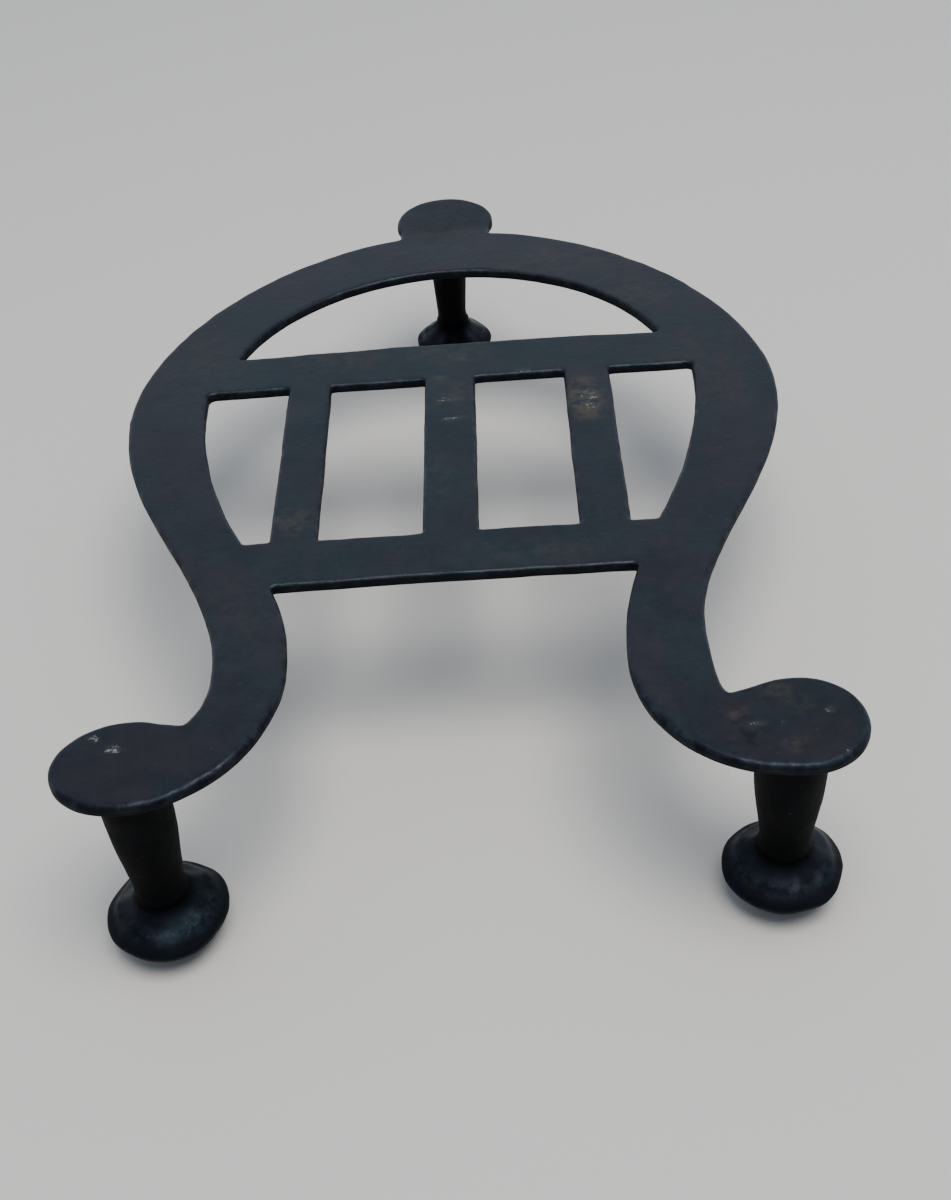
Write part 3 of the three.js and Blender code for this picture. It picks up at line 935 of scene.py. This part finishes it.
class NodeMaker:
    """Adds nodes to one material. Each method returns an output of what it adds."""

    def __init__(self, tree):
        self.tree = tree
        self.place = add_node(tree, "ShaderNodeTexCoord").outputs["Object"]

    def cloud(self, size, detail, rough, seed, stretch=(1, 1, 1)):
        """Fractal noise in patches of about the given size."""
        moved = add_node(self.tree, "ShaderNodeMapping", Vector=self.place,
                         Location=(seed, seed * SECOND_SHIFT, 0), Scale=stretch)
        return add_node(self.tree, "ShaderNodeTexNoise", Vector=moved.outputs[0], Scale=1 / (size * MM),
                        Detail=detail, Roughness=rough).outputs["Fac"]

    def ramp(self, factor, low, high):
        """0 up to low, 1 from high on, and a smooth rise between them."""
        return add_node(self.tree, "ShaderNodeMapRange", Value=factor, From_Min=low, From_Max=high,
                        interpolation_type="SMOOTHSTEP").outputs[0]

    def patches(self, key):
        """The soft-edged patches of one of the PATTERNS."""
        size, detail, rough, seed, low, high = PATTERNS[key]
        return self.ramp(self.cloud(size, detail, rough, seed), low, high)

    def mark(self, key):
        """How strongly the mesh is marked here with wear and a painted highlight, haze, scuffs or painted
        shade.
        """
        return add_node(self.tree, "ShaderNodeAttribute", attribute_name=key).outputs["Fac"]

    def maths(self, operation, first, second):
        return add_node(self.tree, "ShaderNodeMath", operation=operation, i0=first, i1=second).outputs[0]

    def times(self, first, second):
        return self.maths("MULTIPLY", first, second)

    def outside(self, share):
        """1 minus the share."""
        return self.maths("SUBTRACT", 1.0, share)

    def sum_of(self, start, terms):
        """The start with each term's value times its weight added."""
        total = start
        for value, weight in terms:
            total = self.maths("ADD", self.times(value, weight), total)
        return total

    def mix(self, share, first, second):
        """The first colour, passing into the second as the share rises."""
        made = self.tree.nodes.new("ShaderNodeMix")
        made.data_type = "RGBA"
        for socket, value in ((made.inputs[0], share), (made.inputs[6], first), (made.inputs[7], second)):
            if isinstance(value, bpy.types.NodeSocket):
                self.tree.links.new(value, socket)
            else:
                socket.default_value = (*value, 1)
        return made.outputs[2]

    def layered(self, colour, layers):
        """The colour with layers over it, in turn. A layer is (where it lies, strength, colour)."""
        for where, strength, over in layers:
            colour = self.mix(self.times(where, strength), colour, over)
        return colour


def iron_colour(make, look, at):
    """Mottled black forge scale, with brown haze, pale scuffs, dust, worn edges with a painted highlight, and
    painted shade over it.
    """
    haze, scuff = make.mark("haze"), make.mark("scuff")
    chips = make.ramp(make.sum_of(make.cloud(*CHIPS), [(scuff, CHIPS_MORE)]), *CHIPS_EDGE)
    return make.layered(make.mix(make.patches("broad"), look["dark"], look["light"]), [
        (at["middle"], 0.55, look["tint"]),
        (make.outside(at["fine"]), 0.4, tuple(c * HOLLOW_SHADE for c in look["dark"])),
        (at["rust"], 0.85, HAZE_COLOUR),
        (make.times(haze, make.patches("orange")), 0.4, RUST_COLOUR),
        (make.times(scuff, make.patches("smudge")), 0.4, SMUDGE_COLOUR),
        (make.times(chips, make.maths("MINIMUM", scuff, 1.0)), 0.9, SCUFF_COLOUR),
        (make.patches("dust"), 0.3, DUST_COLOUR),
        (at["wear_and_highlight"], 0.4, WEAR_AND_HIGHLIGHT_COLOUR),
        (at["painted_shade"], 0.85, PAINTED_SHADE_COLOUR),
    ])


def iron_roughness(make, look, at):
    """Rougher in the patches, the rust and the painted shade, and smoother on the worn and highlit edges."""
    return make.sum_of(look["roughness"] + ROUGHNESS_OFFSET, [
        (at["middle"], 0.10), (at["fine"], 0.06), (at["rust"], 0.22), (at["painted_shade"], 0.45), (at["wear_and_highlight"], -0.12),
    ])


def iron_sheen(make, look, at):
    """The reflections' colour: cool and warm patches, dull hollows, glinting edges, almost none where shade
    is painted.
    """
    edge = make.mix(make.patches("glint"), EDGE_DIM, EDGE_GLINT)
    return make.layered(make.mix(make.patches("sheen"), look["cool"], look["warm"]), [
        (make.outside(at["middle"]), 0.3, DULL_SHEEN),
        (make.mark("wear_and_highlight"), 0.85, edge),
        (at["rust"], 0.7, HAZE_SHEEN),
        (at["painted_shade"], 0.9, PAINTED_SHADE_SHEEN),
    ])


def iron_bump(make, at):
    """Fine scale, pits and low bumps."""
    height = make.sum_of(0.0, [(at["fine"], 0.5), (make.patches("pits"), 0.5), (make.cloud(*BUMPS), 1.6)])
    return add_node(make.tree, "ShaderNodeBump", Height=height, Strength=BUMP_STRENGTH,
                    Distance=BUMP_HEIGHT_M).outputs[0]


def forged_iron(name):
    """The material of one of the FINISHES."""
    look = FINISHES[name]
    material = bpy.data.materials.new(name)
    material.use_nodes = True
    tree = material.node_tree
    shader = tree.nodes["Principled BSDF"]
    make = NodeMaker(tree)
    # Where the surface has what more than one of the shader's inputs follow.
    at = {"middle": make.patches("middle"), "fine": make.patches("fine"),
          "rust": make.times(make.mark("haze"), make.patches("rust")),
          # Edge wear with a painted highlight, and painted shade, as the mesh marks them.
          "wear_and_highlight": make.times(make.mark("wear_and_highlight"), make.patches("wear_and_highlight")), "painted_shade": make.mark("painted_shade")}
    tree.links.new(iron_colour(make, look, at), shader.inputs["Base Color"])
    tree.links.new(iron_roughness(make, look, at), shader.inputs["Roughness"])
    tree.links.new(iron_sheen(make, look, at), shader.inputs["Specular Tint"])
    tree.links.new(iron_bump(make, at), shader.inputs["Normal"])
    shader.inputs["Specular IOR Level"].default_value = look["specular"]
    return material


# ---- floor and light ---------------------------------------------------------------------------

FLOOR_REACH_M = 8
FLOOR_COLOUR = (0.74, 0.715, 0.68, 1)
FLOOR_ROUGHNESS = 0.8
SKY_COLOUR = (0.76, 0.87, 1.03, 1)
SKY_STRENGTH = 0.69
FRONT_SHARE = 0.42
SKY_FADE = 0.5
LAMP_SIZE_M = 0.9
LAMP_POWER = 14
LAMP_COLOUR = (1, 0.97, 0.92)
LAMP_PLACE_M = (0.2, -0.3, 1.25)
LAMP_TARGET_M = (0, 0, 0.03)


def new_floor():
    """A plain pale floor at the height of the feet's soles."""
    mesh = bpy.data.meshes.new("floor")
    corners = [(-1, -1), (1, -1), (1, 1), (-1, 1)]
    mesh.from_pydata([(x * FLOOR_REACH_M, y * FLOOR_REACH_M, 0) for x, y in corners], [], [(0, 1, 2, 3)])
    floor = bpy.data.objects.new("floor", mesh)
    bpy.context.scene.collection.objects.link(floor)
    material = bpy.data.materials.new("floor")
    material.use_nodes = True
    shader = material.node_tree.nodes["Principled BSDF"]
    shader.inputs["Base Color"].default_value = FLOOR_COLOUR
    shader.inputs["Roughness"].default_value = FLOOR_ROUGHNESS
    mesh.materials.append(material)
    return floor


def add_sky():
    """Soft light from all round, stronger from the rear half, +Y, than from the front half."""
    world = bpy.data.worlds.new("world")
    bpy.context.scene.world = world
    world.use_nodes = True
    sky = world.node_tree
    place = add_node(sky, "ShaderNodeTexCoord").outputs["Generated"]
    towards = add_node(sky, "ShaderNodeSeparateXYZ", Vector=place)
    glow = add_node(sky, "ShaderNodeMapRange", Value=towards.outputs["Y"],
                    From_Min=-SKY_FADE, From_Max=SKY_FADE,
                    To_Min=SKY_STRENGTH * FRONT_SHARE, To_Max=SKY_STRENGTH, interpolation_type="SMOOTHSTEP")
    sky.nodes["Background"].inputs["Color"].default_value = SKY_COLOUR
    sky.links.new(glow.outputs[0], sky.nodes["Background"].inputs["Strength"])


def add_lamp():
    """A broad, faintly warm lamp over the stand."""
    data = bpy.data.lights.new("overhead", "AREA")
    data.shape = "DISK"
    data.size = LAMP_SIZE_M
    data.energy = LAMP_POWER
    data.color = LAMP_COLOUR
    lamp = bpy.data.objects.new("overhead", data)
    bpy.context.scene.collection.objects.link(lamp)
    lamp.location = LAMP_PLACE_M
    lamp.rotation_euler = (Vector(LAMP_TARGET_M) - Vector(LAMP_PLACE_M)).to_track_quat("-Z", "Y").to_euler()


# ---- scene -------------------------------------------------------------------------------------

HEAD_DEPTH = 0.5


def finish_head(leg, iron):
    """Gives the tenon's head, which lies in the plate's top, the plate's iron."""
    leg.data.materials.append(iron)
    for polygon in leg.data.polygons:
        if polygon.center.z > (PLATE_TOP - HEAD_DEPTH) * MM:
            polygon.material_index = 1


add_camera()
irons = {name: forged_iron(name) for name in FINISHES}
slots = {part["node"]: part["material_slot"] for part in frame["record"]["subparts"]}
pieces = plate_meshes()
for node in PLATE_NODES:
    place_piece(new_object(node + "_forged", *pieces[node]), slots[node], irons[slots[node]], node)
for place in LEG_PLACES:
    leg, foot = place + "_leg", place + "_foot"
    shank = new_object(leg + "_forged", *leg_mesh(place, pieces[leg]))
    place_piece(shank, slots[leg], irons["shaded_shank_iron"], leg)
    finish_head(shank, irons["plate_iron"])
    place_piece(new_object(foot + "_forged", *foot_mesh(place)), slots[foot], irons["foot_iron"], foot)

floor = new_floor()
add_sky()
add_lamp()
